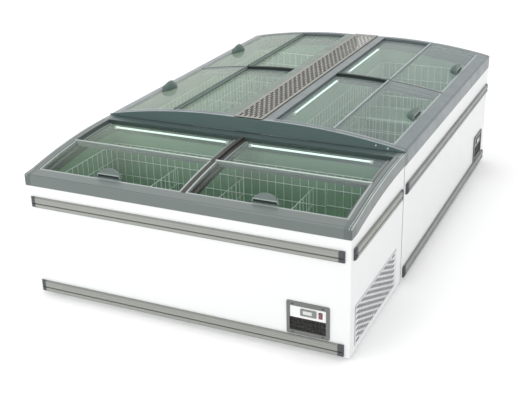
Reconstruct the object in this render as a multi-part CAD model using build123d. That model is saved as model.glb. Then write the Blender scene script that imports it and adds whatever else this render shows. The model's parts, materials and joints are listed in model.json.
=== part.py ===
from build123d import *
import math
import os
from dataclasses import dataclass

# A supermarket island freezer: one head cabinet across the front and two body cabinets back to
# back behind it, with a vent strip between them. Every cabinet has the same section: a flat
# customer face, a foamed tub and a top frame whose curved tracks carry sliding glass lids.
# Millimetres, +Z up, +X along the head's front, +Y from the head towards the far end. The
# origin is on the floor, under the middle of the whole island.
#
# Each cabinet is drawn in its own frame and then placed: X along the cabinet, Y backwards from
# its customer face, Z up from the floor. "Drop" is a distance below the crown arc of the top.

# Driving dimensions
CABINET_DEPTH = 853.0
HEAD_LENGTH = 1853.0
BODY_LENGTH = 2102.0
JOIN_GAP = 2.0
FOOT_HEIGHT = 20.0
HEAD_CROWN_Z = 791.0
BODY_CROWN_Z = 876.0
LID_RADIUS = 3785.0
CROWN_Y = 760.0

# Top frame and lids
FRONT_RAIL = 74.0
REAR_RAIL_Y = 775.0
SIDE_RAIL = 42.0
TRACK_STEP = 18.0
UPPER_TRACK_DROP = 15.0
LOWER_TRACK_DROP = 29.5
MULLION_HALF = 12.0
MULLION_DEPTH = 52.0
LID_THICKNESS = 12.0
UPPER_LID_DROP = 2.0
LOWER_LID_DROP = 16.5
LID_GAP = 1.0
GLASS_THICKNESS = 4.0
GLASS_DROP = 3.0
FIT_GAP = 0.2
UPPER_LID_Y = (75.5, 432.0)
LOWER_LID_Y = (418.0, 773.5)
LID_SIDE_BAR = 11.0
LID_FRONT_BAR = 11.0
LID_REAR_BAR = 12.0

# Casing, foam and tub
PANEL = 2.0
PANEL_INSET = 3.0
WALL = 70.0
STEP_LENGTH = 350.0
STEP_FLOOR_Z = 350.0
DEEP_FLOOR_Z = 135.0
FOAM_FLOOR = 45.0
BAY_ROOF_Z = 302.0

# Bumpers, control panel and vents
BUMPER_PROUD = 11.0
BUMPER_CAP = 30.0
UPPER_BUMPER_Z = (539.0, 599.0)
LOWER_BUMPER_Z = (27.0, 92.0)
CONTROL_WIDTH = 226.0
CONTROL_HEIGHT = 183.0
CONTROL_FROM_END = 219.0
CONTROL_Z = 190.0
VENT_Y = (76.0, 750.0)
VENT_Z = (50.0, 272.0)
SLOT_PITCH = 72.0
SLOT_ROW = 15.5
SLOT_LENGTH = 48.0
SLOT_WIDTH = 9.5
VENT_MARGIN = 14.0
GRILLE_MARGIN = 22.0
GRILLE_HALF = 88.0
GRILLE_TOP_Z = 880.0

# Wire fittings
WIRE = 4.0
WIRE_PITCH_X = 50.0
WIRE_PITCH_Z = 100.0
WIRE_BELOW_RAIL = 12.0
HANDLE_WIDTH = 150.0
HANDLE_REACH = 60.0
HANDLE_SLOT_Z = (8.0, 22.0)
HANDLE_BROW = 3.0
HANDLE_Y = 93.0

# Light tubes: depth, drop and radius, and each tube's two ends along the cabinet
LAMP_Y = 756.0
LAMP_DROP = 37.0
LAMP_RADIUS = 5.5
HEAD_LAMPS = ((-818.0, -92.0), (66.0, 764.0))
BODY_LAMPS = ((-770.0, -66.0), (172.0, 795.0))

# Refrigeration
FAN_RADIUS = 95.0
FAN_AXIS_Z = 160.0
FAN_AXIS_Y = 420.0
COIL_OFFSET = 8.0
TILT = 8.0

ISLAND_LENGTH = CABINET_DEPTH + JOIN_GAP + BODY_LENGTH
HEAD_FRONT_Y = -ISLAND_LENGTH / 2
HEAD_REAR_Y = HEAD_FRONT_Y + CABINET_DEPTH
BODY_NEAR_Y = HEAD_REAR_Y + JOIN_GAP
BODY_MID_Y = BODY_NEAR_Y + BODY_LENGTH / 2
HALF_WIDTH = HEAD_LENGTH / 2


@dataclass
class Cabinet:
    """One cabinet: its size, the heights of its top frame, its fittings and its place."""

    name: str
    length: float
    crown_z: float
    front_bottom: float
    rear_bottom: float
    front_top: float
    divider_top: float
    dividers: tuple
    place: Location

    @property
    def half(self):
        return self.length / 2


HEAD = Cabinet("head", HEAD_LENGTH, HEAD_CROWN_Z, 660.0, 720.0, 722.0, 548.0, (-430.0, 0.0, 430.0),
               Pos(0, HEAD_FRONT_Y, 0))
RIGHT = Cabinet("right", BODY_LENGTH, BODY_CROWN_Z, 714.0, 804.0, 799.5, 592.0, (-525.0, 0.0, 525.0),
                Pos(HALF_WIDTH, BODY_MID_Y, 0) * Rot(0, 0, 90))
LEFT = Cabinet("left", BODY_LENGTH, BODY_CROWN_Z, 714.0, 804.0, 799.5, 592.0, (-525.0, 0.0, 525.0),
               Pos(-HALF_WIDTH, BODY_MID_Y, 0) * Rot(0, 0, -90))
CABINETS = (HEAD, RIGHT, LEFT)


# Shared geometry

def block(x0, x1, y0, y1, z0, z1):
    """A box between two corners."""
    return Pos((x0 + x1) / 2, (y0 + y1) / 2, (z0 + z1) / 2) * Box(x1 - x0, y1 - y0, z1 - z0)


def mirrored(shape):
    """A shape and its mirror image across the middle of the cabinet."""
    return [shape, mirror(shape, about=Plane.YZ)]


def arc_point(cabinet, y, drop):
    """The point of the curve at this drop, on the radius that meets the crown arc at y."""
    angle = math.asin((y - CROWN_Y) / LID_RADIUS)
    radius = LID_RADIUS - drop
    return (CROWN_Y + radius * math.sin(angle), cabinet.crown_z - LID_RADIUS + radius * math.cos(angle))


def side_view(edges, x0, x1):
    """A bar along X with the outline that the edges, given in Y and Z, close."""
    return extrude(Plane.YZ.offset(x0) * make_face(edges), x1 - x0, dir=(1, 0, 0))


def arc_bar(cabinet, y0, y1, drop_top, drop_bottom, x0, x1):
    """A bar curved like the lids, between two drops."""
    middle = (y0 + y1) / 2
    top = ThreePointArc(*[arc_point(cabinet, y, drop_top) for y in (y0, middle, y1)])
    bottom = ThreePointArc(*[arc_point(cabinet, y, drop_bottom) for y in (y1, middle, y0)])
    return side_view([top, Line(top @ 1, bottom @ 0), bottom, Line(bottom @ 1, top @ 0)], x0, x1)


def underside(cabinet, gap):
    """The underside of the top frame between its front and rear rails, from front to rear."""
    low = cabinet.front_bottom - gap
    high = cabinet.rear_bottom - gap
    sagitta = (REAR_RAIL_Y - FRONT_RAIL) ** 2 / (8 * LID_RADIUS)
    centre = ((FRONT_RAIL + REAR_RAIL_Y) / 2, (low + high) / 2 + sagitta)
    return ThreePointArc((FRONT_RAIL, low), centre, (REAR_RAIL_Y, high))


def under_frame(cabinet, y0, y1, z0, gap, x0, x1):
    """A wall from z0 up to the underside of the top frame, between two depths."""
    arc = underside(cabinet, gap)
    low = (arc @ 0).Y
    high = (arc @ 1).Y
    outline = Polyline((REAR_RAIL_Y, high), (y1, high), (y1, z0), (y0, z0), (y0, low), (FRONT_RAIL, low))
    return side_view([arc] + outline.edges(), x0, x1)


def arc_height(cabinet, y, drop):
    """The height at y of the curve at this drop."""
    radius = LID_RADIUS - drop
    return cabinet.crown_z - LID_RADIUS + math.sqrt(radius ** 2 - (y - CROWN_Y) ** 2)


def track_bar(cabinet, drop, x0, x1):
    """One step of a side rail, from a drop down to the underside of the top frame."""
    bottom = underside(cabinet, 0)
    depths = (REAR_RAIL_Y, (FRONT_RAIL + REAR_RAIL_Y) / 2, FRONT_RAIL)
    top = ThreePointArc(*[(y, arc_height(cabinet, y, drop)) for y in depths])
    return side_view([bottom, Line(bottom @ 1, top @ 0), top, Line(top @ 1, bottom @ 0)], x0, x1)


def lattice(width, height, columns, rows, bar, thickness):
    """A flat grid of square bars, centred on the origin in the XZ plane and facing Y."""
    outer = Wire(Polyline(*rectangle(0, 0, width, height), close=True))
    holes = []
    hole_w = (width - bar * (columns + 1)) / columns
    hole_h = (height - bar * (rows + 1)) / rows
    for column in range(columns):
        for row in range(rows):
            x = -width / 2 + bar + hole_w / 2 + column * (hole_w + bar)
            z = -height / 2 + bar + hole_h / 2 + row * (hole_h + bar)
            holes.append(Wire(Polyline(*rectangle(x, z, hole_w, hole_h), close=True)))
    face = Plane.XZ * Face(outer, holes)
    return extrude(Pos(0, thickness / 2, 0) * face, thickness, dir=(0, -1, 0))


def rectangle(x, y, width, height):
    """The corners of a rectangle, in order."""
    w, h = width / 2, height / 2
    return [(x - w, y - h), (x + w, y - h), (x + w, y + h), (x - w, y + h)]


def slotted_sheet(length, width, thickness, margin):
    """A flat sheet in the XY plane, long in Y, with a brick pattern of slots along its length."""
    rows = int((width - 2 * margin) / SLOT_ROW) + 1
    holes = []
    for row in range(rows):
        x = (row - (rows - 1) / 2) * SLOT_ROW
        shift = SLOT_PITCH / 2 if row % 2 else 0.0
        count = int((length - 2 * margin - shift - SLOT_LENGTH) / SLOT_PITCH) + 1
        for slot in range(count):
            y = -length / 2 + margin + shift + SLOT_LENGTH / 2 + slot * SLOT_PITCH
            holes.append(Wire(Polyline(*rectangle(x, y, SLOT_WIDTH, SLOT_LENGTH), close=True)))
    outer = Wire(Polyline(*rectangle(0, 0, width, length), close=True))
    return extrude(Face(outer, holes), thickness, dir=(0, 0, 1))


# Casing, insulation and tub

def control_window():
    """The hole behind the control panel, in a cabinet's front."""
    return (CONTROL_WIDTH - 20, CONTROL_HEIGHT - 20)


def casing(cabinet):
    """The painted sheet panels: front, back, two ends and a floor pan."""
    inner = cabinet.half - PANEL_INSET - PANEL
    low = FOOT_HEIGHT
    front = block(-inner - PANEL, inner + PANEL, PANEL_INSET, PANEL_INSET + PANEL, low,
                  cabinet.front_bottom - FIT_GAP)
    window_w, window_h = control_window()
    front -= Pos(cabinet.half - CONTROL_FROM_END, PANEL_INSET, CONTROL_Z) * Box(window_w, 20, window_h)
    back_y = CABINET_DEPTH - PANEL_INSET
    back = block(-inner - PANEL, inner + PANEL, back_y - PANEL, back_y, low, cabinet.rear_bottom - FIT_GAP)
    ends = mirrored(under_frame(cabinet, PANEL_INSET + PANEL, back_y - PANEL, low, FIT_GAP,
                                inner, inner + PANEL))
    if cabinet is not LEFT:
        ends[0] -= vent_hole(inner)
    pan = block(-inner, inner, PANEL_INSET + PANEL, back_y - PANEL, low, low + PANEL)
    return [front, back, pan] + ends


def vent_hole(x):
    """The hole behind a vent panel, in a cabinet's end."""
    return block(x - 5, x + 10, VENT_Y[0] + 10, VENT_Y[1] - 10, VENT_Z[0] + 10, VENT_Z[1] - 10)


def foam(cabinet):
    """The foam between casing and tub, with a raised floor over the machine bay."""
    skin = PANEL_INSET + PANEL + 0.5
    inner = cabinet.half - skin
    step_x = cabinet.half - WALL - STEP_LENGTH
    solid = under_frame(cabinet, skin, CABINET_DEPTH - skin, DEEP_FLOOR_Z - FOAM_FLOOR, 0.5, -inner, inner)
    solid -= block(-cabinet.half + WALL - PANEL, step_x + PANEL, WALL - PANEL, rear_wall() + PANEL,
                   DEEP_FLOOR_Z - PANEL, 1000)
    solid -= block(step_x, cabinet.half - WALL + PANEL, WALL - PANEL, rear_wall() + PANEL,
                   STEP_FLOOR_Z - PANEL, 1000)
    solid -= block(step_x + FOAM_FLOOR, cabinet.half, 0, CABINET_DEPTH, 0, BAY_ROOF_Z)
    return solid


def rear_wall():
    """Where the tub's rear wall starts."""
    return CABINET_DEPTH - WALL - 4


def tub(cabinet):
    """The tub's liner sheets: two floors, the riser between them, and the walls."""
    left = -cabinet.half + WALL
    right = cabinet.half - WALL
    step_x = right - STEP_LENGTH
    rear = rear_wall()
    sheets = [
        block(left, step_x, WALL, rear, DEEP_FLOOR_Z - PANEL, DEEP_FLOOR_Z),
        block(step_x, right, WALL, rear, STEP_FLOOR_Z - PANEL, STEP_FLOOR_Z),
        block(step_x, step_x + PANEL, WALL, rear, DEEP_FLOOR_Z, STEP_FLOOR_Z - PANEL),
        under_frame(cabinet, WALL, rear, DEEP_FLOOR_Z, 0.5, left - PANEL, left),
        under_frame(cabinet, WALL, rear, STEP_FLOOR_Z, 0.5, right, right + PANEL),
    ]
    for y0, top in ((WALL - PANEL, cabinet.front_bottom), (rear, cabinet.rear_bottom)):
        sheets.append(block(left - PANEL, step_x, y0, y0 + PANEL, DEEP_FLOOR_Z - PANEL, top - 0.5))
        sheets.append(block(step_x, right + PANEL, y0, y0 + PANEL, STEP_FLOOR_Z - PANEL, top - 0.5))
    return sheets


# Top frame

def collar(cabinet):
    """The top frame: front and rear rails, and curved side rails with two lid tracks each."""
    half = cabinet.half
    profile = Polyline((0, cabinet.front_bottom), (FRONT_RAIL, cabinet.front_bottom),
                       (FRONT_RAIL, arc_height(cabinet, FRONT_RAIL, 0)), (10, cabinet.front_top),
                       (0, cabinet.front_top - 8), close=True)
    front = side_view(profile.edges(), -half, half)
    front = fillet(front.edges().filter_by(Axis.Z).group_by(Axis.Y)[0], 7)
    rear = side_view(Polyline((REAR_RAIL_Y, cabinet.rear_bottom), (CABINET_DEPTH, cabinet.rear_bottom),
                              (CABINET_DEPTH, arc_height(cabinet, CABINET_DEPTH, 0)),
                              (REAR_RAIL_Y, arc_height(cabinet, REAR_RAIL_Y, 0)),
                              close=True).edges(), -half, half)
    return [front, rear] + mirrored(side_rail(cabinet))


def side_rail(cabinet):
    """One side rail: its grooved top band, the upper lids' track and the lower lids' track."""
    half = cabinet.half
    rail = track_bar(cabinet, 0, half - SIDE_RAIL, half)
    rail += track_bar(cabinet, UPPER_TRACK_DROP, half - SIDE_RAIL - TRACK_STEP, half - SIDE_RAIL)
    rail += track_bar(cabinet, LOWER_TRACK_DROP, half - SIDE_RAIL - 2 * TRACK_STEP,
                      half - SIDE_RAIL - TRACK_STEP)
    return rail - arc_bar(cabinet, FRONT_RAIL - 1, REAR_RAIL_Y + 1, -2, 3, half - 20, half - 15)


def mullion(cabinet):
    """The bar between the two bays, with the same two tracks on each side."""
    bar = None
    for step, drop in enumerate((0.0, UPPER_TRACK_DROP, LOWER_TRACK_DROP)):
        reach = MULLION_HALF + step * TRACK_STEP
        piece = arc_bar(cabinet, FRONT_RAIL, REAR_RAIL_Y, drop, MULLION_DEPTH, -reach, reach)
        bar = piece if bar is None else bar + piece
    return bar


# Sliding lids

def lid_span(cabinet, upper):
    """The two ends of a right-hand bay's lid, along the cabinet."""
    inset = 0.0 if upper else TRACK_STEP
    return (MULLION_HALF + inset + LID_GAP, cabinet.half - SIDE_RAIL - inset - LID_GAP)


def lid_frame(cabinet, upper):
    """A lid's frame; an upper lid also has a round trim bar at its rear edge."""
    x0, x1 = lid_span(cabinet, upper)
    y0, y1 = UPPER_LID_Y if upper else LOWER_LID_Y
    drop = UPPER_LID_DROP if upper else LOWER_LID_DROP
    frame = arc_bar(cabinet, y0, y1, drop, drop + LID_THICKNESS, x0, x1)
    window = arc_bar(cabinet, y0 + LID_FRONT_BAR, y1 - LID_REAR_BAR, drop - 5, drop + LID_THICKNESS + 5,
                     x0 + LID_SIDE_BAR, x1 - LID_SIDE_BAR)
    frame -= window
    if not upper:
        return frame
    bar_y, bar_z = arc_point(cabinet, y1 - LID_REAR_BAR / 2, 0)
    trim = Pos(x0, bar_y, bar_z) * Rot(0, 90, 0) * Cylinder(
        LID_REAR_BAR / 2, x1 - x0, align=(Align.CENTER, Align.CENTER, Align.MIN))
    return frame + trim


def lid_glass(cabinet, upper):
    """The curved pane inside a lid's frame."""
    x0, x1 = lid_span(cabinet, upper)
    y0, y1 = UPPER_LID_Y if upper else LOWER_LID_Y
    drop = (UPPER_LID_DROP if upper else LOWER_LID_DROP) + GLASS_DROP
    return arc_bar(cabinet, y0 + LID_FRONT_BAR + FIT_GAP, y1 - LID_REAR_BAR - FIT_GAP, drop,
                   drop + GLASS_THICKNESS, x0 + LID_SIDE_BAR + FIT_GAP, x1 - LID_SIDE_BAR - FIT_GAP)


def cup_handle(cabinet):
    """A domed pull on an upper lid's pane, with a sloping face above its finger slot."""
    x0, x1 = lid_span(cabinet, True)
    low, high = HANDLE_SLOT_Z
    brow = high + HANDLE_BROW
    section = Ellipse(HANDLE_WIDTH / 2, HANDLE_REACH) & Pos(0, 100) * Rectangle(400, 200)
    egg = Pos(0, -2, -2) * revolve(Rot(-135, 0, 0) * section, axis=Axis.X)
    outline = Polyline((0, 0), (0, brow), (50, brow + 51), (90, brow + 51), (90, 0), close=True)
    dome = egg & side_view(outline.edges(), -HANDLE_WIDTH, HANDLE_WIDTH)
    rim = [edge for edge in dome.edges() if edge.center().Z > brow + 5]
    dome = fillet(rim, 3)
    slot = Pos(0, -1, low) * half_disc(HANDLE_WIDTH / 2 - 11, HANDLE_REACH - 14, high - low)
    foot = block(-HANDLE_WIDTH / 2, HANDLE_WIDTH / 2, -5, 0, 0, 3)
    pull = Pos(0, -HANDLE_REACH / 2, 0) * (dome - slot + foot)
    middle = HANDLE_Y + HANDLE_REACH / 2
    y, z = arc_point(cabinet, middle, UPPER_LID_DROP + GLASS_DROP - 0.1)
    lean = math.degrees((CROWN_Y - middle) / LID_RADIUS)
    return Pos((x0 + x1) / 2, y, z) * Rot(lean, 0, 0) * pull


def half_disc(reach_x, reach_y, height):
    """Half of an elliptical disc, straight side at the front."""
    disc = extrude(Ellipse(reach_x, reach_y), height)
    return disc & block(-200, 200, 0, 200, -1, height + 1)


def lids(cabinet):
    """Each lid's nodes, for both bays, with the right-hand bay mirrored for the left one."""
    nodes = {}
    for upper, place in ((True, "front"), (False, "rear")):
        frames = mirrored(lid_frame(cabinet, upper))
        panes = mirrored(lid_glass(cabinet, upper))
        pulls = mirrored(cup_handle(cabinet))
        for side, frame, pane, pull in zip(("b", "a"), frames, panes, pulls):
            nodes[f"{cabinet.name}_{place}_lid_{side}_frame"] = [frame, pull] if upper else [frame]
            nodes[f"{cabinet.name}_{place}_lid_{side}_glass"] = [pane]
    return nodes


# Fittings inside the tub

def lamp_spans(cabinet):
    """The two ends of each light tube, along the cabinet."""
    return HEAD_LAMPS if cabinet is HEAD else BODY_LAMPS


def lamp_tubes(cabinet):
    """The light tubes under the rear rail, one to each bay."""
    y, z = arc_point(cabinet, LAMP_Y, LAMP_DROP)
    return [Pos(x0, y, z) * Rot(0, 90, 0)
            * Cylinder(LAMP_RADIUS, x1 - x0, align=(Align.CENTER, Align.CENTER, Align.MIN))
            for x0, x1 in lamp_spans(cabinet)]


def lamp_holders(cabinet):
    """The end sockets that hang each tube on the rear rail."""
    y, z = arc_point(cabinet, LAMP_Y, LAMP_DROP)
    sockets = []
    for x0, x1 in lamp_spans(cabinet):
        for x in (x0 - 14.2, x1 + 0.2):
            sockets.append(block(x, x + 14, y - 9, REAR_RAIL_Y, z - 9, z + 6))
    return sockets


def wire_liner(cabinet):
    """The wire grids that keep goods off the tub's walls and floor."""
    left = -cabinet.half + WALL
    step_x = cabinet.half - WALL - STEP_LENGTH
    right = cabinet.half - WALL
    rear = rear_wall()
    grids = []
    top = cabinet.front_bottom - WIRE_BELOW_RAIL
    for y in (WALL + 4, rear - 4):
        grids.append(upright_grid(left + 8, step_x - 6, DEEP_FLOOR_Z + 6, top, y))
        grids.append(upright_grid(step_x + 4, right - 8, STEP_FLOOR_Z + 6, top, y))
    for x, floor in ((left + 4, DEEP_FLOOR_Z), (right - 4, STEP_FLOOR_Z)):
        grid = upright_grid(-(rear - WALL) / 2 + 10, (rear - WALL) / 2 - 10, floor + 6, top, 0)
        grids.append(Pos(x, (WALL + rear) / 2, 0) * Rot(0, 0, 90) * grid)
    return grids


def upright_grid(x0, x1, z0, z1, y):
    """A wire grid facing Y, between two x and two heights."""
    columns = max(1, round((x1 - x0) / WIRE_PITCH_X))
    rows = max(1, round((z1 - z0) / WIRE_PITCH_Z))
    return Pos((x0 + x1) / 2, y, (z0 + z1) / 2) * lattice(x1 - x0, z1 - z0, columns, rows, WIRE, WIRE)


def wire_dividers(cabinet):
    """The wire partitions across the tub."""
    front = WALL + 10
    rear = rear_wall() - 10
    middle = (front + rear) / 2
    grid = upright_grid(front - middle, rear - middle, DEEP_FLOOR_Z + 6, cabinet.divider_top, 0)
    return [Pos(x, middle, 0) * Rot(0, 0, 90) * grid for x in cabinet.dividers]


# Bumpers

def bumper_profile(z0, z1):
    """A wide rib over a narrow one, with a groove between; Y is how far it stands out."""
    base = PANEL_INSET - FIT_GAP
    face = -BUMPER_PROUD
    groove = z0 + 0.4 * (z1 - z0)
    return Polyline((base, z0), (base, z1), (face + 5, z1), (face, z1 - 5), (face, groove + 4),
                    (face + 6, groove + 2), (face + 6, groove - 2), (face, groove - 4), (face, z0 + 5),
                    (face + 5, z0), close=True)


def bumper(x0, x1, z_span):
    """One straight bumper rail on a customer face."""
    return side_view(bumper_profile(*z_span).edges(), x0, x1)


def bumper_runs(cabinet):
    """Each run as its two ends along its face, its heights and the way from face to cabinet."""
    runs = [(-cabinet.half + 31, cabinet.half - 31, UPPER_BUMPER_Z, Pos(0, 0, 0)),
            (-cabinet.half + 31, cabinet.half - 31, LOWER_BUMPER_Z, Pos(0, 0, 0))]
    right_end = Pos(cabinet.half, CABINET_DEPTH / 2, 0) * Rot(0, 0, 90)
    left_end = Pos(-cabinet.half, CABINET_DEPTH / 2, 0) * Rot(0, 0, -90)
    reach = CABINET_DEPTH / 2 - 38
    if cabinet is not LEFT:
        runs.append((-reach, reach, UPPER_BUMPER_Z, right_end))
    if cabinet is HEAD:
        runs.append((-reach, reach, LOWER_BUMPER_Z, left_end))
    if cabinet is not RIGHT:
        runs.append((-reach, reach, UPPER_BUMPER_Z, left_end))
    return runs


def bumper_rails(cabinet, heights):
    """The plastic rails at one height."""
    return [turn * bumper(x0 + BUMPER_CAP, x1 - BUMPER_CAP, span)
            for x0, x1, span, turn in bumper_runs(cabinet) if span == heights]


def bumper_caps(cabinet):
    """The moulded end cap on both ends of every rail, with its outer corner rounded off."""
    caps = []
    for x0, x1, span, turn in bumper_runs(cabinet):
        cap = bumper(x1 - BUMPER_CAP + FIT_GAP, x1, span)
        corner = Pos(x1, -BUMPER_PROUD, (span[0] + span[1]) / 2) * Rot(0, 0, 45) * Box(12, 12, 90)
        cap -= corner
        middle = (x0 + x1) / 2
        other = Pos(middle, 0, 0) * mirror(Pos(-middle, 0, 0) * cap, about=Plane.YZ)
        caps += [turn * cap, turn * other]
    return caps


# Control panel

def at_control(cabinet):
    """The control panel's middle, in the plane of the front casing."""
    return Pos(cabinet.half - CONTROL_FROM_END, 0, CONTROL_Z)


def control_frame(cabinet):
    """The moulded frame around the control panel, with four screw holes."""
    frame = Pos(0, -1, 0) * Box(CONTROL_WIDTH, 7.6, CONTROL_HEIGHT)
    frame = fillet(frame.edges().filter_by(Axis.Y), 8)
    frame = chamfer(frame.faces().sort_by(Axis.Y)[0].outer_wire().edges(), 2)
    frame -= Box(192, 30, 137)
    for x, z in screw_places():
        frame -= Pos(x, 0, z) * Rot(90, 0, 0) * Cylinder(2.2, 30)
    return at_control(cabinet) * frame


def screw_places():
    """The control frame's screws, from the panel's middle."""
    return [(x, z) for x in (-80.0, 80.0) for z in (-79.0, 79.0)]


def control_plate(cabinet):
    """The plate for the display and the switch."""
    plate = Pos(0, 1, 35.5) * Box(191, 3, 65)
    plate -= Pos(66, 1, 35.5) * Box(20.5, 10, 36)
    return at_control(cabinet) * plate


def thermometer(cabinet):
    """The display: a bezel with a recessed window."""
    bezel = Pos(3, -2.7, 38) * Box(84, 4, 38)
    bezel = fillet(bezel.edges().filter_by(Axis.Y), 4)
    bezel -= Pos(-4, -4.7, 38) * Box(52, 2.4, 22)
    return at_control(cabinet) * bezel


def intake_grille(cabinet):
    """The barred grille under the plate, which lets air in to the machine bay."""
    grille = Pos(0, 0, -33) * lattice(191, 70, 19, 3, 4, 4)
    return at_control(cabinet) * Pos(0, 1, 0) * grille


def rocker_switch(cabinet):
    """The power rocker, tipped to its on side."""
    edges = Polyline((2, -15), (-4, -15), (-2, 0), (-4, 15), (2, 15), (2.5, 0), close=True).edges()
    rocker = side_view(edges, -9, 9)
    return at_control(cabinet) * Pos(66, 0, 35.5) * Rot(TILT, 0, 0) * rocker


def screws(cabinet):
    """Pan-head screws for the control frame."""
    shapes = []
    for x, z in screw_places():
        shapes.append(at_control(cabinet) * Pos(x, 0, z) * screw(-4.8))
    return shapes


def screw(y):
    """A pan-head screw along Y, its head seated at this y."""
    head = Pos(0, y - 1, 0) * Rot(90, 0, 0) * Cylinder(4, 2)
    shank = Pos(0, y + 5, 0) * Rot(90, 0, 0) * Cylinder(2, 10)
    return head + shank


# Machine bay, at the cabinet's right-hand end

def compressor(cabinet):
    """The sealed compressor: a domed can on two feet, with its suction and discharge stubs."""
    can = Pos(0, 0, 95) * Cylinder(72, 130)
    can = fillet(can.edges().filter_by(GeomType.CIRCLE), 26)
    foot = block(-95, 95, -45, 45, 22, 31)
    stub = Pos(0, 78, 120) * Rot(90, 0, 0) * Cylinder(5, 24)
    return Pos(cabinet.half - 290, 620, 0.5) * (can + foot + stub)


def condenser(cabinet):
    """The finned condenser block behind the vent panel."""
    x1 = cabinet.half - 25
    tank = block(x1 - 45, x1, FAN_AXIS_Y - 150, FAN_AXIS_Y + 150, 40, 280)
    for step in range(14):
        y = FAN_AXIS_Y - 140 + step * 20.5
        tank -= block(x1 - 60, x1 - 36, y, y + 13, 52, 268)
        tank -= block(x1 - 9, x1 + 20, y, y + 13, 52, 268)
    return tank


def at_fan(cabinet):
    """The fan's middle, with its axis along the cabinet."""
    return Pos(cabinet.half - 105, FAN_AXIS_Y, FAN_AXIS_Z)


def fan_shroud(cabinet):
    """The fan's ring plate, the motor behind it and the three arms between them."""
    plate = Box(24, 240, 236) - Rot(0, 90, 0) * Cylinder(FAN_RADIUS + 7, 60)
    motor = Pos(-45, 0, 0) * Rot(0, 90, 0) * Cylinder(34, 44)
    arms = None
    for turn in (90, 210, 330):
        arm = Rot(turn, 0, 0) * (block(-30, -24, 20, FAN_RADIUS + 12, -6, 6)
                                 + block(-30, -11, FAN_RADIUS + 8, FAN_RADIUS + 14, -6, 6))
        arms = arm if arms is None else arms + arm
    bore = Pos(-30, 0, 0) * Rot(0, 90, 0) * Cylinder(4.1, 40)
    return at_fan(cabinet) * (plate + motor + arms - bore)


def fan_rotor(cabinet):
    """The fan's hub, its five pitched blades and its spindle."""
    rotor = Rot(0, 90, 0) * Cylinder(26, 20)
    rotor += Pos(-20, 0, 0) * Rot(0, 90, 0) * Cylinder(4, 24)
    for number in range(5):
        blade = Pos(0, 0, FAN_RADIUS / 2 + 9) * Rot(0, 0, 32) * Box(2.5, 46, FAN_RADIUS - 22)
        blade = blade & Rot(0, 90, 0) * Cylinder(FAN_RADIUS, 60)
        rotor += Rot(number * 72, 0, 0) * blade
    return at_fan(cabinet) * rotor


def evaporator(cabinet):
    """The evaporator: loops of tube pressed round the tub, inside the foam."""
    reach_x = 2 * (cabinet.half - WALL + PANEL + COIL_OFFSET)
    reach_y = rear_wall() + PANEL + COIL_OFFSET - (WALL - PANEL - COIL_OFFSET)
    loops = []
    for level in range(4):
        z = 400.0 + 65.0 * level
        path = Pos(0, (WALL + rear_wall()) / 2, z) * RectangleRounded(reach_x, reach_y, 14).wire()
        start = path @ 0
        ring = sweep(Plane(start, z_dir=path % 0) * Circle(4), path=path)
        loops.append(ring)
    return loops


# Base

def foot_places(cabinet):
    """Where the levelling feet stand."""
    xs = (-cabinet.half + 110, 0.0, cabinet.half - 60)
    return [(x, y) for x in xs for y in (60.0, CABINET_DEPTH - 60.0)]


def feet(cabinet):
    """Levelling feet: a wide pad under a short neck."""
    shapes = []
    for x, y in foot_places(cabinet):
        pad = Pos(x, y, 4) * Cylinder(24, 8)
        neck = Pos(x, y, 13.9) * Cylinder(9, 11.8)
        shapes.append(pad + neck)
    return shapes


def base_frame(cabinet):
    """Two channel rails across the floor pan, over each pair of feet, and one in the middle."""
    rails = []
    for x in (-cabinet.half + 110, 0.0, cabinet.half - 60):
        outer = block(x - 20, x + 20, 8, CABINET_DEPTH - 8, FOOT_HEIGHT + PANEL, FOOT_HEIGHT + PANEL + 16)
        rails.append(outer - block(x - 17, x + 17, 0, CABINET_DEPTH, FOOT_HEIGHT, FOOT_HEIGHT + PANEL + 13))
    return rails


# Pieces of the whole island

def vent_panels():
    """Slotted panels over the machine bays of the head and of the right-hand body."""
    width = VENT_Z[1] - VENT_Z[0]
    middle_y = (VENT_Y[0] + VENT_Y[1]) / 2
    middle_z = (VENT_Z[0] + VENT_Z[1]) / 2
    sheet = slotted_sheet(VENT_Y[1] - VENT_Y[0], width, PANEL, VENT_MARGIN)
    panels = []
    for cabinet in (HEAD, RIGHT):
        x = cabinet.half - PANEL_INSET + FIT_GAP
        panels.append(cabinet.place * Pos(x, middle_y, middle_z) * Rot(0, 90, 0) * sheet)
    return panels


def centre_grille():
    """The vent strip between the bodies: a slotted cover with a flange down each side."""
    flange = 2.0
    half_gap = HALF_WIDTH - CABINET_DEPTH
    cover = Pos(0, 0, GRILLE_TOP_Z - 3) * slotted_sheet(BODY_LENGTH, 2 * GRILLE_HALF, 3, GRILLE_MARGIN)
    for side in (-1, 1):
        x = side * (half_gap - 1.5)
        cover += block(min(x, x - side * flange), max(x, x - side * flange), -BODY_LENGTH / 2,
                       BODY_LENGTH / 2, GRILLE_TOP_Z - 40, GRILLE_TOP_Z - 3)
    return Pos(0, BODY_MID_Y, 0) * cover


def body_arc_point(x, drop=0.0):
    """A point of the bodies' arched end, in X and Z of the island."""
    y, z = arc_point(RIGHT, HALF_WIDTH - abs(x), drop)
    return (math.copysign(HALF_WIDTH - y, x), z)


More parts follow.
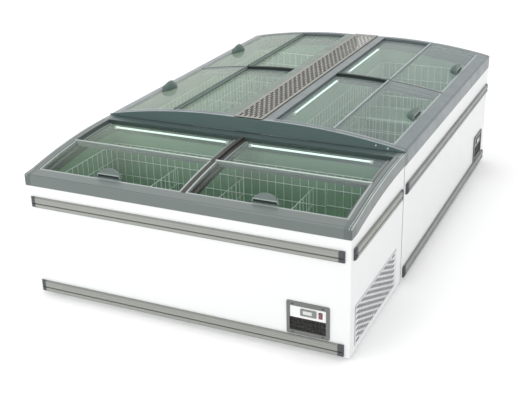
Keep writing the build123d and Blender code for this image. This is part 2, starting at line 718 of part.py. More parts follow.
def arch_plate():
    """The plate that closes the bodies' arched end above the head."""
    inner = HALF_WIDTH - CABINET_DEPTH
    low = HEAD_CROWN_Z + 0.8
    right = ThreePointArc(*[body_arc_point(x) for x in (HALF_WIDTH, HALF_WIDTH / 2, inner)])
    left = ThreePointArc(*[body_arc_point(x) for x in (-inner, -HALF_WIDTH / 2, -HALF_WIDTH)])
    edges = [right, Line(right @ 1, left @ 0), left,
             Polyline(left @ 1, (-HALF_WIDTH, low), (HALF_WIDTH, low), right @ 0)]
    face = Plane.XZ * make_face(edges)
    return extrude(Pos(0, HEAD_REAR_Y - 1.5, 0) * face, 3, dir=(0, 1, 0))


def arch_pins():
    """The two fixing screws near the arch plate's right-hand end."""
    return [Pos(x, HEAD_REAR_Y - 3.2, z) * Rot(90, 0, 0) * Cylinder(5, 3)
            for x, z in ((760.0, 814.0), (828.0, 805.0))]


def every(function, *extra):
    """A function's solids for all three cabinets, each in its place."""
    shapes = []
    for cabinet in CABINETS:
        made = function(cabinet, *extra)
        for shape in made if isinstance(made, list) else [made]:
            shapes.append(cabinet.place * shape)
    return shapes


def placed(cabinet, shapes):
    """A cabinet's own solids, in the island's frame."""
    return [cabinet.place * shape for shape in shapes]


def write(node, shapes):
    """One STEP file for a node, with each solid kept apart."""
    solids = [solid for shape in shapes for solid in shape.solids()]
    export_step(Compound(children=solids), f"parts/{node}.step")


def build():
    """Every node of the island."""
    nodes = {
        "foam_insulation": every(foam),
        "tub_liners": every(tub),
        "mullions": every(mullion),
        "lamp_tubes": every(lamp_tubes),
        "lamp_holders": every(lamp_holders),
        "wire_liners": every(wire_liner),
        "wire_dividers": every(wire_dividers),
        "upper_bumpers": every(bumper_rails, UPPER_BUMPER_Z),
        "lower_bumpers": every(bumper_rails, LOWER_BUMPER_Z),
        "bumper_end_caps": every(bumper_caps),
        "control_frames": every(control_frame),
        "control_plates": every(control_plate),
        "thermometers": every(thermometer),
        "intake_grilles": every(intake_grille),
        "screws": every(screws) + arch_pins(),
        "compressors": every(compressor),
        "condensers": every(condenser),
        "fan_shrouds": every(fan_shroud),
        "evaporator_coils": every(evaporator),
        "levelling_feet": every(feet),
        "base_frames": every(base_frame),
        "vent_panels": vent_panels(),
        "centre_grille": [centre_grille()],
        "arch_plate": [arch_plate()],
    }
    for cabinet in CABINETS:
        nodes[f"{cabinet.name}_casing"] = placed(cabinet, casing(cabinet))
        nodes[f"{cabinet.name}_collar"] = placed(cabinet, collar(cabinet))
        nodes[f"{cabinet.name}_switch"] = placed(cabinet, [rocker_switch(cabinet)])
        nodes[f"{cabinet.name}_fan_rotor"] = placed(cabinet, [fan_rotor(cabinet)])
        for node, shapes in lids(cabinet).items():
            nodes[node] = placed(cabinet, shapes)
    return nodes


os.makedirs("parts", exist_ok=True)
for node_name, node_shapes in build().items():
    write(node_name, node_shapes)
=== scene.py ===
import math
from collections import namedtuple

import bmesh
import bpy
from mathutils import Matrix, Vector
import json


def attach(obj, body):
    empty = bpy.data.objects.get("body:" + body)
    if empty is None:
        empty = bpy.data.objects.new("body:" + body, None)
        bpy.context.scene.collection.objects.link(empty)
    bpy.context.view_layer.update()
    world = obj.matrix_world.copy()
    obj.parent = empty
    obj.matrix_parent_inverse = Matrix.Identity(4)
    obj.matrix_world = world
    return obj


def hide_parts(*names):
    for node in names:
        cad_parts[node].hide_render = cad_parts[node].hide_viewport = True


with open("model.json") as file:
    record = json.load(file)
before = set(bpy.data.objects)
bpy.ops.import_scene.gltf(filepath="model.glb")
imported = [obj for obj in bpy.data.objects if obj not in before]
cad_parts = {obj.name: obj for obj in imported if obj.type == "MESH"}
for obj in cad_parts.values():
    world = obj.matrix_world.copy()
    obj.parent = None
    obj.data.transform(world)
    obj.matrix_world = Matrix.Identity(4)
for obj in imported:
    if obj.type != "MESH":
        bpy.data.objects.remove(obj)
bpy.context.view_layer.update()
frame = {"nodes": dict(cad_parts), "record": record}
nodes = frame["nodes"]

# Sizes are in metres. "Depth" runs back from a cabinet's customer face, and "along" is the
# distance from its middle, along it. A cabinet is given by its half length, the heights of its
# crown, of its front rail's underside and of its partitions, the partitions' places, and how far
# along its handles are.
Cabinet = namedtuple("Cabinet", "half crown front_rail partition_top partitions handle")
CABINETS = {
    "head": Cabinet(0.9265, 0.791, 0.660, 0.548, (-0.430, 0.0, 0.430), 0.448),
    "right": Cabinet(1.051, 0.876, 0.714, 0.592, (-0.525, 0.0, 0.525), 0.510),
    "left": Cabinet(1.051, 0.876, 0.714, 0.592, (-0.525, 0.0, 0.525), 0.510),
}
DEPTH = 0.853
HALF_WIDTH = 0.9265
HEAD_FRONT_Y = -1.4785
BODY_MID_Y = 0.4275

# The head's pieces lie in front of this, and the bodies' behind it.
HEAD_BODY_Y = -0.62

# The lids' curve: its radius, and the depth of its highest point
LID_RADIUS = 3.785
CROWN_DEPTH = 0.760

# The collars: a side rail's width, the depths of the front and rear rails' inner edges, the
# length and depth of a corner, the depths of the painted shade line on the fold and its strength,
# and the bands of painted highlight: how far in from the collar's ends, and how far under the lids' curve
SIDE_RAIL = 0.0422
FRONT_RAIL = 0.0742
REAR_RAIL = 0.7748
CORNER_LENGTH = 0.040
CORNER_DEPTH = 0.074
FOLD_SHADE_DEPTHS = (0.0075, 0.0120)
FOLD_SHADE_STRENGTH = 0.6
HIGHLIGHT_EDGE = 0.0035
HIGHLIGHT_LIP = (0.012, 0.015)
HIGHLIGHT_UNDER_CURVE = 0.0035

# The lids: the depths between which a handle lies and at which its foot ends, half a handle's
# width, the trim's place (behind a depth, and at most so far under the curve), and the depth of
# the rear bar's front edge
HANDLE_DEPTHS = (0.0870, 0.170)
HANDLE_FOOT = 0.0925
HANDLE_HALF = 0.080
TRIM_FROM = 0.3
TRIM_UNDER_CURVE = 0.0015
REAR_BAR_FROM = 0.757

# Where other pieces change shade: the depths of a casing's back sheet and of the darker part of
# a body's bar, the bumpers' lower and upper edges, the centre strip's top, the vents' outer
# faces, and a height between the panels' screws and the arch plate's
CASING_BACK = DEPTH - 0.0055
MULLION_REAR = 0.43
UPPER_BUMPER = (0.539, 0.599)
LOWER_BUMPER = (0.027, 0.092)
GRILLE_TOP = 0.8797
VENT_FACE_X = 0.9253
VENT_FACE_Y = 1.4773
SCREW_SPLIT = 0.5

# The tubs: the thickness of the walls, the depth of the rear one, the length of the step and
# the heights of the floors
WALL = 0.070
REAR_WALL = 0.779
STEP = 0.350
DEEP_FLOOR = 0.135
STEP_FLOOR = 0.350

# Wire grids: pitches, radii, how far the two layers stand off a grid's plane, and the gaps to
# the rail, the walls, the floors and the step
WIRE_PITCH_ALONG = 0.050
WIRE_PITCH_UP = 0.100
UPRIGHT_RADIUS = 0.0014
LEVEL_RADIUS = 0.0018
RIM_RADIUS = 0.00196
RIM_DROP = 0.0028
UPRIGHT_DROP = 0.001
LEVEL_MARGIN = 0.002
UPRIGHT_PROUD = 0.0008
LEVEL_PROUD = -0.0012
WIRE_BELOW_RAIL = 0.012
WIRE_OFF_WALL = 0.004
WIRE_OFF_FLOOR = 0.006
LONG_END_GAP = 0.008
CROSS_END_GAP = 0.010
GAP_BEFORE_STEP = 0.006
GAP_AFTER_STEP = 0.004

# A wire's sides, and its domed ends: their length and the width of their tips, as shares of
# the radius
WIRE_SIDES = 8
DOME_LENGTH = 0.45
DOME_TIP = 0.55

# The display window in each thermometer. Its rings of corners, from the back, are given by
# depth and inset.
WINDOW_FROM_END = 0.220
WINDOW_Z = 0.228
WINDOW_HALF_WIDTH = 0.0215
WINDOW_HALF_HEIGHT = 0.0065
WINDOW_CORNER = 0.003
WINDOW_RINGS = ((-0.0033, 0.0), (-0.0041, 0.0), (-0.0044, 0.0006))

# Widths of the rounding on hard edges
COLLAR_ROUNDING = 0.0022
SMALL_ROUNDING = 0.0010

# Every finish: the scales of the clouds in its colour and in its gloss, the shares of its
# roughness between which the gloss varies, and the depth of its grain
CLOUD_SCALE = 3.5
GLOSS_SCALE = 11.0
GLOSS_SHARES = (0.82, 1.2)
GRAIN_DEPTH = 0.0004

# The glass's haze: the least of it, and where and how fast it grows towards a grazing angle
HAZE_LEAST = 0.015
HAZE_FROM = 0.375
HAZE_GROWTH = 0.9


def place(cabinet, x, y, z):
    """A point of a cabinet (along it, depth, height) in the island's frame."""
    if cabinet == "head":
        return Vector((x, HEAD_FRONT_Y + y, z))
    if cabinet == "right":
        return Vector((HALF_WIDTH - y, BODY_MID_Y + x, z))
    return Vector((-HALF_WIDTH + y, BODY_MID_Y - x, z))


# Camera and light

def aim_camera():
    """The camera, looking down over the head's right-hand corner."""
    yaw, pitch, roll = 0.437, -0.41, -0.025
    level = math.cos(pitch)
    forward = Vector((-math.sin(yaw) * level, math.cos(yaw) * level, math.sin(pitch)))
    right = Vector((math.cos(yaw), math.sin(yaw), 0.0))
    up = right.cross(forward)
    side = math.cos(roll) * right + math.sin(roll) * up
    top = -math.sin(roll) * right + math.cos(roll) * up
    data = bpy.data.cameras.new("camera")
    data.sensor_width = 36.0
    data.lens = 63.7
    camera = bpy.data.objects.new("camera", data)
    bpy.context.scene.collection.objects.link(camera)
    turn = Matrix((side, top, -forward)).transposed()
    camera.matrix_world = Matrix.Translation((2.1834, -5.1279, 2.5448)) @ turn.to_4x4()
    bpy.context.scene.camera = camera


def area_light(name, where, target, size, power):
    """A soft square light at a point, turned to a target."""
    data = bpy.data.lights.new(name, "AREA")
    data.size = size
    data.energy = power
    lamp = bpy.data.objects.new(name, data)
    bpy.context.scene.collection.objects.link(lamp)
    lamp.location = where
    lamp.rotation_euler = (Vector(target) - Vector(where)).to_track_quat("-Z", "Y").to_euler()


def light_studio():
    """Even white surroundings, a large overhead light and a weaker one from the front."""
    world = bpy.data.worlds.new("studio")
    bpy.context.scene.world = world
    world.use_nodes = True
    background = world.node_tree.nodes["Background"]
    background.inputs["Color"].default_value = (1.0, 1.0, 1.0, 1.0)
    background.inputs["Strength"].default_value = 1.0
    area_light("overhead", (-0.8, -0.6, 4.6), (0.0, 0.0, 0.6), 3.6, 60.0)
    area_light("front", (-1.4, -5.0, 2.4), (0.0, -0.8, 0.4), 2.4, 40.0)
    bpy.context.scene.view_settings.view_transform = "Standard"


# Materials

class Graph:
    """A material's nodes, with short calls to add and join them."""

    def __init__(self, name):
        self.material = bpy.data.materials.new(name)
        self.material.use_nodes = True
        self.tree = self.material.node_tree
        self.shader = self.tree.nodes["Principled BSDF"]
        self.coords = self.tree.nodes.new("ShaderNodeTexCoord").outputs["Object"]

    def join(self, source, target):
        self.tree.links.new(source, target)

    def colour(self):
        """The base colour so far."""
        return self.shader.inputs["Base Color"].links[0].from_socket

    def set_colour(self, source):
        self.join(source, self.shader.inputs["Base Color"])

    def axis(self, name):
        """The X, Y or Z of the surface in the island's frame."""
        split = self.tree.nodes.new("ShaderNodeSeparateXYZ")
        self.join(self.coords, split.inputs["Vector"])
        return split.outputs[name]

    def noise(self, scale, detail=3.0):
        noise = self.tree.nodes.new("ShaderNodeTexNoise")
        noise.inputs["Scale"].default_value = scale
        noise.inputs["Detail"].default_value = detail
        self.join(self.coords, noise.inputs["Vector"])
        return noise.outputs["Fac"]

    def math(self, operation, a, b):
        node = self.tree.nodes.new("ShaderNodeMath")
        node.operation = operation
        for socket, value in zip(node.inputs, (a, b)):
            if isinstance(value, (int, float)):
                socket.default_value = value
            else:
                self.join(value, socket)
        return node.outputs["Value"]

    def size(self, value):
        """The value without its sign."""
        return self.math("ABSOLUTE", value, 0.0)

    def above(self, value, limit):
        """1 where the value is over the limit, and 0 elsewhere."""
        return self.math("GREATER_THAN", value, limit)

    def below(self, value, limit):
        """1 where the value is under the limit, and 0 elsewhere."""
        return self.math("LESS_THAN", value, limit)

    def both(self, a, b):
        """Where two masks overlap."""
        return self.math("MULTIPLY", a, b)

    def either(self, a, b):
        """Where at least one of two masks is."""
        return self.math("MAXIMUM", a, b)

    def between(self, value, low, high):
        """1 where the value is between two limits, and 0 elsewhere."""
        return self.both(self.above(value, low), self.below(value, high))

    def level(self, value, from_min, from_max, to_min=0.0, to_max=1.0):
        """The value moved from one range to another, and held within it."""
        node = self.tree.nodes.new("ShaderNodeMapRange")
        node.inputs["From Min"].default_value = from_min
        node.inputs["From Max"].default_value = from_max
        node.inputs["To Min"].default_value = to_min
        node.inputs["To Max"].default_value = to_max
        self.join(value, node.inputs["Value"])
        return node.outputs["Result"]

    def spread(self, noise, low, high):
        """A noise's usual range, stretched to low and high."""
        return self.level(noise, 0.3, 0.7, low, high)

    def mix(self, factor, a, b, blend="MIX"):
        """Colour b laid over colour a, by a factor that is a socket or a number."""
        node = self.tree.nodes.new("ShaderNodeMix")
        node.data_type = "RGBA"
        node.blend_type = blend
        if isinstance(factor, float):
            node.inputs["Factor"].default_value = factor
        else:
            self.join(factor, node.inputs["Factor"])
        for socket, value in ((node.inputs[6], a), (node.inputs[7], b)):
            if isinstance(value, tuple):
                socket.default_value = (*value, 1.0)
            else:
                self.join(value, socket)
        return node.outputs[2]

    def bump(self, height, strength, distance):
        node = self.tree.nodes.new("ShaderNodeBump")
        node.inputs["Strength"].default_value = strength
        node.inputs["Distance"].default_value = distance
        self.join(height, node.inputs["Height"])
        self.join(node.outputs["Normal"], self.shader.inputs["Normal"])


def finish_material(name, colour, rough, vary=0.06, grain=900.0, strength=0.12, metal=0.0, coat=0.0,
                    glow=None):
    """A surface with cloudy colour and gloss variation and a fine grain in its relief."""
    graph = Graph(name)
    dark = tuple(c * (1.0 - vary) for c in colour)
    light = tuple(min(1.0, c * (1.0 + vary)) for c in colour)
    graph.set_colour(graph.mix(graph.noise(CLOUD_SCALE, 4.0), dark, light))
    low = rough * GLOSS_SHARES[0]
    high = min(1.0, rough * GLOSS_SHARES[1])
    gloss = graph.spread(graph.noise(GLOSS_SCALE, 5.0), low, high)
    graph.join(gloss, graph.shader.inputs["Roughness"])
    graph.bump(graph.noise(grain, 2.0), strength, GRAIN_DEPTH)
    graph.shader.inputs["Metallic"].default_value = metal
    graph.shader.inputs["Coat Weight"].default_value = coat
    if glow:
        graph.shader.inputs["Emission Color"].default_value = (*glow[0], 1.0)
        graph.shader.inputs["Emission Strength"].default_value = glow[1]
    return graph


def radial_mask(graph, cabinet, over):
    """1 where the surface lies over the lids' curve by more than `over` metres."""
    centre = place(cabinet, 0.0, CROWN_DEPTH, CABINETS[cabinet].crown - LID_RADIUS)
    flat = (0.0, 1.0, 1.0) if cabinet == "head" else (1.0, 0.0, 1.0)
    scale = graph.tree.nodes.new("ShaderNodeVectorMath")
    scale.operation = "MULTIPLY"
    scale.inputs[1].default_value = flat
    graph.join(graph.coords, scale.inputs[0])
    reach = graph.tree.nodes.new("ShaderNodeVectorMath")
    reach.operation = "DISTANCE"
    reach.inputs[1].default_value = [c * f for c, f in zip(centre, flat)]
    graph.join(scale.outputs["Vector"], reach.inputs[0])
    return graph.above(reach.outputs["Value"], LID_RADIUS + over)


def depth_value(graph, cabinet):
    """The depth behind the cabinet's customer face."""
    if cabinet == "head":
        return graph.math("SUBTRACT", graph.axis("Y"), HEAD_FRONT_Y)
    if cabinet == "right":
        return graph.math("SUBTRACT", HALF_WIDTH, graph.axis("X"))
    return graph.math("ADD", graph.axis("X"), HALF_WIDTH)


def along_value(graph, cabinet):
    """The distance from the middle of the cabinet, along it."""
    if cabinet == "head":
        return graph.size(graph.axis("X"))
    return graph.size(graph.math("SUBTRACT", graph.axis("Y"), BODY_MID_Y))


def body_mask(graph):
    """1 on the two body cabinets, 0 on the head."""
    return graph.above(graph.axis("Y"), HEAD_BODY_Y)


def front_lid_material(cabinet):
    """A pale grey frame, a trim bar at its rear edge that is bright with painted reflection on the head
    and dark with painted shade on the left body, and a grey-green handle with a pale foot.
    """
    graph = finish_material(cabinet + "_front_lid", (0.30, 0.34, 0.33), 0.34, coat=0.2)
    depth = depth_value(graph, cabinet)
    beside = graph.size(graph.math("SUBTRACT", along_value(graph, cabinet), CABINETS[cabinet].handle))
    handle = graph.both(graph.between(depth, *HANDLE_DEPTHS), graph.below(beside, HANDLE_HALF))
    if cabinet == "head":
        mould = graph.mix(graph.noise(60.0), (0.085, 0.115, 0.108), (0.115, 0.15, 0.14))
    else:
        mould = graph.mix(graph.noise(60.0), (0.050, 0.090, 0.078), (0.070, 0.118, 0.102))
    mould = graph.mix(graph.below(depth, HANDLE_FOOT), mould, (0.26, 0.31, 0.29))
    trim = graph.both(radial_mask(graph, cabinet, -TRIM_UNDER_CURVE), graph.above(depth, TRIM_FROM))
    # The trim's colour per cabinet is painted reflection and shade: bright on the head, dark on the left
    # body
    trim_reflection_and_shade = {
        "head": (0.36, 0.42, 0.39),
        "right": (0.32, 0.38, 0.385),
        "left": (0.085, 0.14, 0.12),
    }
    colour = graph.mix(trim, graph.colour(), trim_reflection_and_shade[cabinet])
    graph.set_colour(graph.mix(handle, colour, mould))
    shine = 0.6 if cabinet == "head" else 0.2
    graph.join(graph.math("MULTIPLY", trim, shine), graph.shader.inputs["Metallic"])
    return graph.material


def rear_lid_material(cabinet):
    """A grey frame with a rear bar of its own colour, painted dark on the head as the shade of the arch
    plate.
    """
    graph = finish_material(cabinet + "_rear_lid", (0.17, 0.20, 0.195), 0.38)
    bar = graph.above(depth_value(graph, cabinet), REAR_BAR_FROM)
    # On the head the rear bar is painted dark as the shade of the arch plate
    bar_colour = (0.030, 0.055, 0.045) if cabinet == "head" else (0.15, 0.19, 0.195)
    graph.set_colour(graph.mix(bar, graph.colour(), bar_colour))
    return graph.material


def collar_material(cabinet):
    """A grey extrusion: tracks and a fold line painted dark as shade, a rear rail of its own colour that
    is painted dark as shade on the head, and painted highlights on the edges at its ends.
    """
    half = CABINETS[cabinet].half
    colour = (0.125, 0.150, 0.144) if cabinet == "head" else (0.140, 0.168, 0.178)
    graph = finish_material(cabinet + "_collar", colour, 0.36, coat=0.2)
    along = along_value(graph, cabinet)
    depth = depth_value(graph, cabinet)
    corner = graph.both(graph.above(along, half - CORNER_LENGTH), graph.below(depth, CORNER_DEPTH))
    colour = graph.mix(corner, graph.colour(), (0.092, 0.112, 0.108))
    edge = graph.above(along, half - HIGHLIGHT_EDGE)
    lip = graph.between(along, half - HIGHLIGHT_LIP[1], half - HIGHLIGHT_LIP[0])
    crease = graph.both(graph.either(edge, lip), radial_mask(graph, cabinet, -HIGHLIGHT_UNDER_CURVE))
    # Painted highlight: bright bands, broken up by noise, on the edges at the collar's ends
    painted_highlight = graph.both(crease, graph.spread(graph.noise(14.0, 4.0), 0.55, 1.0))
    colour = graph.mix(painted_highlight, colour, (0.50, 0.56, 0.56))
    # Painted shade: a dark line along the fold between the rail's top and its front face
    fold_shade = graph.math("MULTIPLY", graph.between(depth, *FOLD_SHADE_DEPTHS), FOLD_SHADE_STRENGTH)
    colour = graph.mix(fold_shade, colour, (0.070, 0.086, 0.082))
    inside = graph.both(graph.below(along, half - SIDE_RAIL), graph.above(depth, FRONT_RAIL))
    # Painted shade: the recessed lid tracks under the lids are darkened
    track_shade = graph.both(inside, graph.below(depth, REAR_RAIL))
    colour = graph.mix(track_shade, colour, (0.035, 0.046, 0.044))
    rear = graph.both(inside, graph.above(depth, REAR_RAIL))
    # The head's rear rail is painted dark as the shade beside the arch plate; the bodies' take their own
    # colours
    rear_colours = {
        "head": (0.05, 0.078, 0.074),
        "right": (0.125, 0.150, 0.152),
        "left": (0.120, 0.165, 0.135),
    }
    graph.set_colour(graph.mix(rear, colour, rear_colours[cabinet]))
    return graph.material


def casing_material(cabinet):
    """White coated sheet, with a plain dark back that is painted as the shade in the gap seen through the
    slots.
    """
    graph = finish_material(cabinet + "_casing", (0.79, 0.805, 0.805), 0.34, 0.012, 60.0, 0.01)
    # Painted shade: the back sheet is dark for the shade in the gap behind the slots
    back = graph.above(depth_value(graph, cabinet), CASING_BACK)
    graph.set_colour(graph.mix(back, graph.colour(), (0.07, 0.075, 0.075)))
    return graph.material


def mullion_material():
    """A brown-grey bar on the head; the bodies' bars are green-grey and darker towards the rear."""
    graph = finish_material("mullion", (0.042, 0.041, 0.037), 0.45)
    graph.shader.inputs["Specular IOR Level"].default_value = 0.3
    depth = graph.math("SUBTRACT", HALF_WIDTH, graph.size(graph.axis("X")))
    rear = graph.above(depth, MULLION_REAR)
    body_colour = graph.mix(rear, (0.10, 0.12, 0.12), (0.020, 0.030, 0.028))
    graph.set_colour(graph.mix(body_mask(graph), graph.colour(), body_colour))
    return graph.material


def bumper_material(name, low, high):
    """Pale ridges, with painted shade in the groove, on a fine upper line and on the edges, between two
    heights.
    """
    graph = finish_material(name, (0.30, 0.30, 0.27), 0.40, 0.05, 500.0, 0.12)
    # Painted shade: the dark and edge colours darken the groove, the fine upper line and the bevelled
    # edges
    dark = (0.13, 0.13, 0.115, 1.0)
    pale = (0.30, 0.315, 0.285, 1.0)
    edge = (0.22, 0.225, 0.205, 1.0)
    stops = ((0.0, dark), (0.06, dark), (0.12, pale), (0.33, pale), (0.37, dark), (0.42, dark),
             (0.47, pale), (0.70, pale), (0.74, edge), (0.78, pale), (0.88, pale), (0.93, edge),
             (1.0, edge))
    ramp = graph.tree.nodes.new("ShaderNodeValToRGB")
    points = ramp.color_ramp.elements
    points[0].position, points[0].color = stops[0]
    points[1].position, points[1].color = stops[-1]
    for position, colour in stops[1:-1]:
        points.new(position).color = colour
    graph.join(graph.level(graph.axis("Z"), low, high), ramp.inputs["Fac"])
    shade = graph.mix(graph.noise(9.0, 4.0), (0.92, 0.92, 0.92), (1.0, 1.0, 1.0))
    shade = graph.mix(body_mask(graph), shade, (0.84, 0.85, 0.91))
    graph.set_colour(graph.mix(1.0, ramp.outputs["Color"], shade, "MULTIPLY"))
    return graph.material


def grille_material():
    """Beige sheet whose slot edges and underside are painted dark as shade."""
    graph = finish_material("grille", (0.228, 0.226, 0.202), 0.42, 0.05, 700.0, 0.15)
    # Painted shade: everything under the top face is darkened
    shade_below_top = graph.below(graph.axis("Z"), GRILLE_TOP)
    graph.set_colour(graph.mix(shade_below_top, graph.colour(), (0.016, 0.017, 0.015)))
    return graph.material


def vent_material():
    """Grey sheet whose inside and slot edges are painted dark as shade."""
    graph = finish_material("vent", (0.66, 0.68, 0.69), 0.35, 0.02, 500.0, 0.08)
    # Painted shade: all but the outer faces are darkened
    side = graph.above(graph.axis("X"), VENT_FACE_X)
    end = graph.above(graph.axis("Y"), VENT_FACE_Y)
    outer = graph.either(side, end)
    graph.set_colour(graph.mix(outer, (0.03, 0.032, 0.034), graph.colour()))
    return graph.material


def plate_material():
    """A white control plate on the head; the bodies' are painted grey as the shade of their frames."""
    graph = finish_material("control_plate", (0.80, 0.80, 0.80), 0.32, 0.02, 900.0, 0.08)
    # Painted shade: the bodies' plates are greyed
    graph.set_colour(graph.mix(body_mask(graph), graph.colour(), (0.14, 0.145, 0.15)))
    return graph.material


def screw_material():
    """Dull dark heads on the control panels, brighter ones on the arch plate."""
    graph = finish_material("screw_head", (0.022, 0.022, 0.020), 0.45)
    high = graph.above(graph.axis("Z"), SCREW_SPLIT)
    graph.set_colour(graph.mix(high, graph.colour(), (0.75, 0.78, 0.76)))
    graph.join(graph.math("MULTIPLY", high, 0.8), graph.shader.inputs["Metallic"])
    return graph.material


def glass_material():
    """Clear glass with a green cast, hazier at a grazing angle, with a painted reflection tint that is
    greener towards the left.
    """
    graph = Graph("lid_glass")
    # Painted reflection: the tint goes from green on the left to bluer on the right
    reflection_across = graph.level(graph.axis("X"), -HALF_WIDTH, HALF_WIDTH)
    tint = graph.mix(reflection_across, (0.47, 0.60, 0.46), (0.53, 0.62, 0.64))
    pale = graph.mix(reflection_across, (0.53, 0.66, 0.52), (0.59, 0.68, 0.70))
    graph.set_colour(graph.mix(graph.noise(2.2), tint, pale))
    graph.join(graph.spread(graph.noise(7.0, 4.0), 0.02, 0.06), graph.shader.inputs["Roughness"])
    weight = graph.tree.nodes.new("ShaderNodeLayerWeight")
    weight.inputs["Blend"].default_value = 0.35
    grazing = graph.math("MAXIMUM", graph.math("SUBTRACT", weight.outputs["Facing"], HAZE_FROM), 0.0)
    haze = graph.math("ADD", graph.math("MULTIPLY", grazing, HAZE_GROWTH), HAZE_LEAST)
    graph.join(haze, graph.shader.inputs["Alpha"])
    graph.shader.inputs["IOR"].default_value = 1.5
    graph.shader.inputs["Coat Weight"].default_value = 0.3
    return graph.material


def slot_materials():
    """The finishes of whole material slots."""
    graphs = {
        "red_switch": finish_material("red_switch", (0.20, 0.075, 0.082), 0.32),
        "fan_plastic": finish_material("fan_plastic", (0.02, 0.02, 0.022), 0.4),
        "foam": finish_material("foam", (0.70, 0.60, 0.38), 0.9, 0.15, 300.0, 0.5),
        # The white liners are coloured green as a painted tint of the light through the green glass
        "tub_white": finish_material("tub_white", (0.15, 0.28, 0.175), 0.38, 0.05, 320.0, 0.05),
        "lamp": finish_material("lamp", (0.30, 0.42, 0.36), 0.3, 0.01, 300.0, 0.02,
                                glow=((0.74, 1.0, 0.86), 1.1)),
        "lamp_socket": finish_material("lamp_socket", (0.70, 0.74, 0.70), 0.4),
        # The white wires are also tinted green as painted light through the green glass
        "white_wire": finish_material("white_wire", (0.66, 0.76, 0.70), 0.32, 0.05, 700.0, 0.1, coat=0.4),
        "charcoal_cap": finish_material("charcoal_cap", (0.055, 0.06, 0.068), 0.42, 0.1, 1200.0, 0.25),
        "dark_frame": finish_material("dark_frame", (0.145, 0.15, 0.145), 0.45, 0.06, 1400.0, 0.25),
        "display_bezel": finish_material("display_bezel", (0.20, 0.215, 0.205), 0.34, 0.12),
        "black_grille": finish_material("black_grille", (0.012, 0.012, 0.013), 0.5),
        "zinc": finish_material("zinc", (0.48, 0.49, 0.50), 0.36, 0.08, 600.0, 0.2, metal=0.9),
        "black_steel": finish_material("black_steel", (0.012, 0.012, 0.014), 0.33, coat=0.4),
        "fin_aluminium": finish_material("fin_aluminium", (0.62, 0.63, 0.64), 0.35, metal=0.9),
        "foot_rubber": finish_material("foot_rubber", (0.02, 0.02, 0.02), 0.8, 0.2, 700.0, 0.4),
        "arch_dark": finish_material("arch_dark", (0.085, 0.135, 0.13), 0.36, 0.06, 600.0, 0.1, coat=0.2),
    }
    made = {slot: graph.material for slot, graph in graphs.items()}
    made["lid_glass"] = glass_material()
    return made


def node_materials(by_slot):
    """The finishes of nodes that don't take their slot's."""
    made = {
        "mullions": mullion_material(),
        "upper_bumpers": bumper_material("upper_bumper", *UPPER_BUMPER),
        "lower_bumpers": bumper_material("lower_bumper", *LOWER_BUMPER),
        "screws": screw_material(),
        "centre_grille": grille_material(),
        "vent_panels": vent_material(),
        "control_plates": plate_material(),
        # Black, a colour such condensers can have, also standing in for the machine bay's shade seen
        # through the vents
        "condensers": by_slot["black_steel"],
    }
    for cabinet in CABINETS:
        made[cabinet + "_collar"] = collar_material(cabinet)
        made[cabinet + "_casing"] = casing_material(cabinet)
        front = front_lid_material(cabinet)
        rear = rear_lid_material(cabinet)
        for bay in "ab":
            made[f"{cabinet}_front_lid_{bay}_frame"] = front
            made[f"{cabinet}_rear_lid_{bay}_frame"] = rear
    return made


def paint(name, material):
    """Gives a CAD node this material in every slot."""
    for entry in nodes[name].material_slots:
        entry.material = material


def soften(name, width, segments=2):
    """Rounds a CAD node's hard edges a little."""
    node = nodes[name]
    weld = node.modifiers.new("weld", "WELD")
    weld.merge_threshold = 0.00001
    bevel = node.modifiers.new("bevel", "BEVEL")
    bevel.width = width
    bevel.segments = segments
    bevel.limit_method = "ANGLE"
    bevel.angle_limit = math.radians(35)
    bevel.harden_normals = True


def add_piece(name, mesh, material):
    """A finished bmesh as a piece of the scene."""
    data = bpy.data.meshes.new(name)
    mesh.to_mesh(data)
    mesh.free()
    data.materials.append(material)
    piece = bpy.data.objects.new(name, data)
    bpy.context.scene.collection.objects.link(piece)
    return piece


# Round wire in place of the CAD's square bars

def add_wire(mesh, start, end, radius):
    """A wire with domed ends from start to end."""
    axis = end - start
    turn = axis.to_track_quat("Z", "Y").to_matrix().to_4x4()
    dome = radius * DOME_LENGTH
    rings = []
    length = axis.length
    for along, share in ((0.0, DOME_TIP), (dome, 1.0), (length - dome, 1.0), (length, DOME_TIP)):
        ring = []
        for corner in range(WIRE_SIDES):
            angle = corner * math.tau / WIRE_SIDES
            spot = Vector((math.cos(angle) * radius * share, math.sin(angle) * radius * share, along))
            ring.append(mesh.verts.new(start + turn @ spot))
        rings.append(ring)
    for low, high in zip(rings, rings[1:]):
        for corner in range(WIRE_SIDES):
            after = (corner + 1) % WIRE_SIDES
            face = mesh.faces.new((low[corner], low[after], high[after], high[corner]))
            face.smooth = True
    mesh.faces.new(rings[0][::-1])
    mesh.faces.new(rings[-1])


def add_grid(mesh, at, start, end, z0, z1):
    """Upright wires on level ones, under a thicker rim.

    at(run, proud, z) gives the point that lies `run` along the grid and `proud` off its plane.
    """
    columns = max(1, round((end - start) / WIRE_PITCH_ALONG))
    rows = max(1, round((z1 - z0) / WIRE_PITCH_UP))
    for column in range(columns + 1):
        run = start + (end - start) * column / columns
        foot = at(run, UPRIGHT_PROUD, z0)
        add_wire(mesh, foot, at(run, UPRIGHT_PROUD, z1 - UPRIGHT_DROP), UPRIGHT_RADIUS)
    for row in range(rows):
        z = z0 + LEVEL_MARGIN + (z1 - z0 - 2 * LEVEL_MARGIN) * row / rows
        add_wire(mesh, at(start, LEVEL_PROUD, z), at(end, LEVEL_PROUD, z), LEVEL_RADIUS)
    add_wire(mesh, at(start, 0.0, z1 - RIM_DROP), at(end, 0.0, z1 - RIM_DROP), RIM_RADIUS)


def long_plane(cabinet, depth):
    """The plane of a grid that runs along a cabinet, at one depth."""
    return lambda run, proud, z: place(cabinet, run, depth + proud, z)


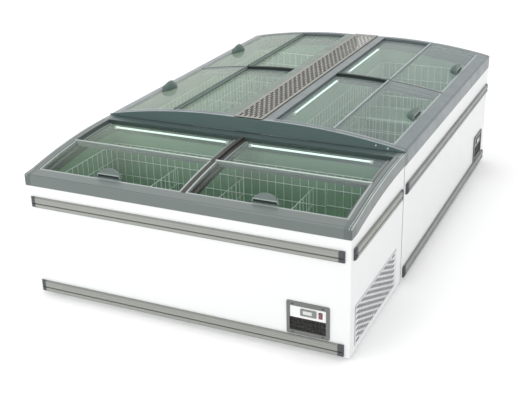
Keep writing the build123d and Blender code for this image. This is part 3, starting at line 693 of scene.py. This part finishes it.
def cross_plane(cabinet, x):
    """The plane of a grid that runs across a cabinet, at one place along it."""
    return lambda run, proud, z: place(cabinet, x + proud, run, z)


def add_cross_grid(mesh, cabinet, x, floor, top):
    """A grid across a cabinet's tub, at one place along it."""
    add_grid(mesh, cross_plane(cabinet, x), WALL + CROSS_END_GAP, REAR_WALL - CROSS_END_GAP,
             floor + WIRE_OFF_FLOOR, top)


def make_liner_wires(material):
    """The round-wire grids on the walls of the three tubs."""
    mesh = bmesh.new()
    for name, cabinet in CABINETS.items():
        left = -cabinet.half + WALL
        right = cabinet.half - WALL
        step = right - STEP
        top = cabinet.front_rail - WIRE_BELOW_RAIL
        for depth in (WALL + WIRE_OFF_WALL, REAR_WALL - WIRE_OFF_WALL):
            plane = long_plane(name, depth)
            add_grid(mesh, plane, left + LONG_END_GAP, step - GAP_BEFORE_STEP,
                     DEEP_FLOOR + WIRE_OFF_FLOOR, top)
            add_grid(mesh, plane, step + GAP_AFTER_STEP, right - LONG_END_GAP,
                     STEP_FLOOR + WIRE_OFF_FLOOR, top)
        add_cross_grid(mesh, name, left + WIRE_OFF_WALL, DEEP_FLOOR, top)
        add_cross_grid(mesh, name, right - WIRE_OFF_WALL, STEP_FLOOR, top)
    piece = add_piece("tub_wire_grids", mesh, material)
    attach(piece, "island")
    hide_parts("wire_liners")


def make_divider_wires(material):
    """The round-wire partitions across the tubs."""
    mesh = bmesh.new()
    for name, cabinet in CABINETS.items():
        for x in cabinet.partitions:
            add_cross_grid(mesh, name, x, DEEP_FLOOR, cabinet.partition_top)
    piece = add_piece("tub_partitions", mesh, material)
    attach(piece, "island")
    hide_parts("wire_dividers")


# Display windows and floor

def window_outline(middle):
    """The corners of a window with rounded corners, in a control panel's plane."""
    outline = []
    for side_x, side_z, start in ((1, 1, 0), (-1, 1, 90), (-1, -1, 180), (1, -1, 270)):
        for turn in (0, 30, 60, 90):
            angle = math.radians(start + turn)
            outline.append((middle + side_x * WINDOW_HALF_WIDTH + WINDOW_CORNER * math.cos(angle),
                            WINDOW_Z + side_z * WINDOW_HALF_HEIGHT + WINDOW_CORNER * math.sin(angle)))
    return outline


def make_display_windows(material):
    """The pale window in each thermometer's bezel, with rounded corners and edges."""
    mesh = bmesh.new()
    for name, cabinet in CABINETS.items():
        middle = cabinet.half - WINDOW_FROM_END
        outline = window_outline(middle)
        rings = []
        for depth, inset in WINDOW_RINGS:
            ring = []
            for x, z in outline:
                inner_x = x - math.copysign(inset, x - middle)
                inner_z = z - math.copysign(inset, z - WINDOW_Z)
                ring.append(mesh.verts.new(place(name, inner_x, depth, inner_z)))
            rings.append(ring)
        count = len(outline)
        for back, front in zip(rings, rings[1:]):
            for corner in range(count):
                after = (corner + 1) % count
                mesh.faces.new((back[corner], back[after], front[after], front[corner]))
        mesh.faces.new(rings[0])
        mesh.faces.new(rings[-1][::-1])
    bmesh.ops.recalc_face_normals(mesh, faces=mesh.faces)
    piece = add_piece("display_windows", mesh, material)
    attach(piece, "island")


def make_floor():
    """A plain pale floor."""
    mesh = bmesh.new()
    bmesh.ops.create_grid(mesh, x_segments=1, y_segments=1, size=14.0)
    finish = finish_material("floor", (0.90, 0.90, 0.90), 0.8, 0.01, 200.0, 0.02,
                             glow=((1.0, 1.0, 1.0), 0.12))
    add_piece("floor", mesh, finish.material)


aim_camera()
light_studio()
make_floor()

slot_finishes = slot_materials()
node_finishes = node_materials(slot_finishes)
for entry in frame["record"]["subparts"]:
    node_name = entry["node"]
    if node_name in node_finishes:
        paint(node_name, node_finishes[node_name])
    else:
        paint(node_name, slot_finishes[entry["material_slot"]])

for cabinet_name in CABINETS:
    soften(cabinet_name + "_collar", COLLAR_ROUNDING, 3)
for node_name in ("mullions", "upper_bumpers", "lower_bumpers", "bumper_end_caps", "control_plates",
                  "control_frames", "arch_plate"):
    soften(node_name, SMALL_ROUNDING)

make_display_windows(finish_material("display_window", (0.62, 0.66, 0.64), 0.22, 0.04).material)
make_liner_wires(slot_finishes["white_wire"])
make_divider_wires(slot_finishes["white_wire"])
